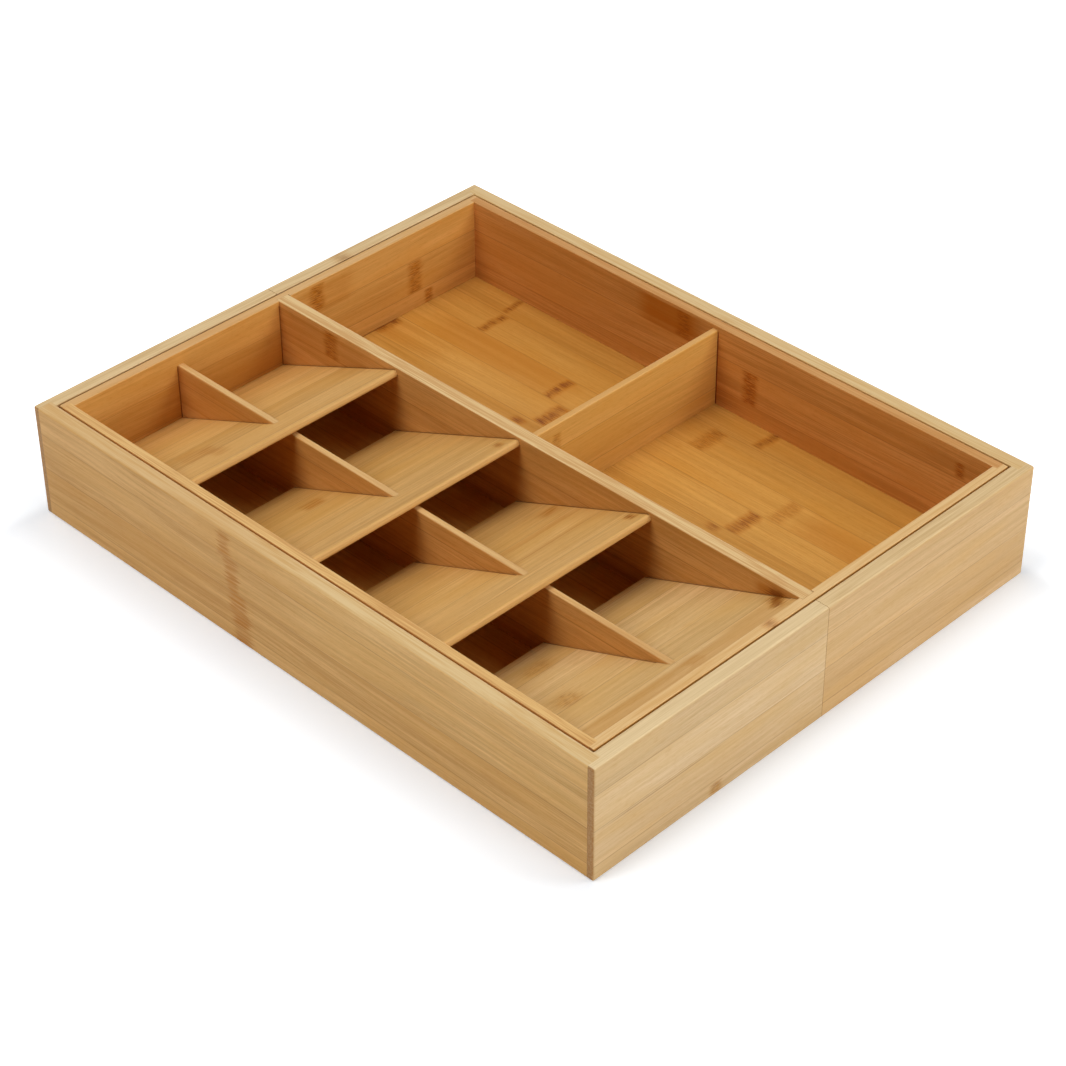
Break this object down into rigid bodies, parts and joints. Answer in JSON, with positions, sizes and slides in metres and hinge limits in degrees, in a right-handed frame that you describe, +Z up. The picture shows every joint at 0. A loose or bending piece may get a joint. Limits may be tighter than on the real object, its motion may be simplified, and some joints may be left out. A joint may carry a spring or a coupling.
{
  "type": "expanding cutlery tray",
  "caption": "Low bamboo drawer tray with overlapping sloping cutlery shelves on one side, open utensil sections on the other, and sleeves that slide out sideways to widen it.",
  "frame": {"origin": "centre of the closed tray's underside, on the surface that it rests on", "axes": "+X to the utensil side, the way the right sleeve slides out; +Y to the rear, along the tray; +Z up"},
  "size_m": [0.3168, 0.4, 0.0675],
  "materials": {
    "sleeve_bamboo": "satin lacquer",
    "tray_bamboo": "satin lacquer",
    "shelf_bamboo": "satin lacquer",
    "base_bamboo": "satin lacquer",
    "rail_bamboo": "bare, sanded"
  },
  "bodies": {
    "centre_tray": {"centre_base": "base_bamboo", "centre_left_wall": "tray_bamboo", "centre_right_wall": "tray_bamboo", "centre_front_wall": "tray_bamboo", "centre_rear_wall": "tray_bamboo", "long_divider": "tray_bamboo", "cross_divider": "tray_bamboo", "cutlery_divider": "tray_bamboo", "rear_shelf": "shelf_bamboo", "second_shelf": "shelf_bamboo", "third_shelf": "shelf_bamboo", "front_shelf": "shelf_bamboo", "left_front_guide_rail": "rail_bamboo", "left_rear_guide_rail": "rail_bamboo", "right_front_guide_rail": "rail_bamboo", "right_rear_guide_rail": "rail_bamboo"},
    "left_sleeve": {"left_sleeve_front_wall": "sleeve_bamboo", "left_sleeve_rear_wall": "sleeve_bamboo", "left_sleeve_side_wall": "sleeve_bamboo", "left_sleeve_base": "base_bamboo"},
    "right_sleeve": {"right_sleeve_front_wall": "sleeve_bamboo", "right_sleeve_rear_wall": "sleeve_bamboo", "right_sleeve_side_wall": "sleeve_bamboo", "right_sleeve_base": "base_bamboo"}
  },
  "joints": [
    {"name": "left_sleeve_slide", "type": "slide", "parent": "centre_tray", "child": "left_sleeve", "axis": [-1, 0, 0], "range_m": [0, 0.095]},
    {"name": "right_sleeve_slide", "type": "slide", "parent": "centre_tray", "child": "right_sleeve", "axis": [1, 0, 0], "range_m": [0, 0.095]}
  ]
}
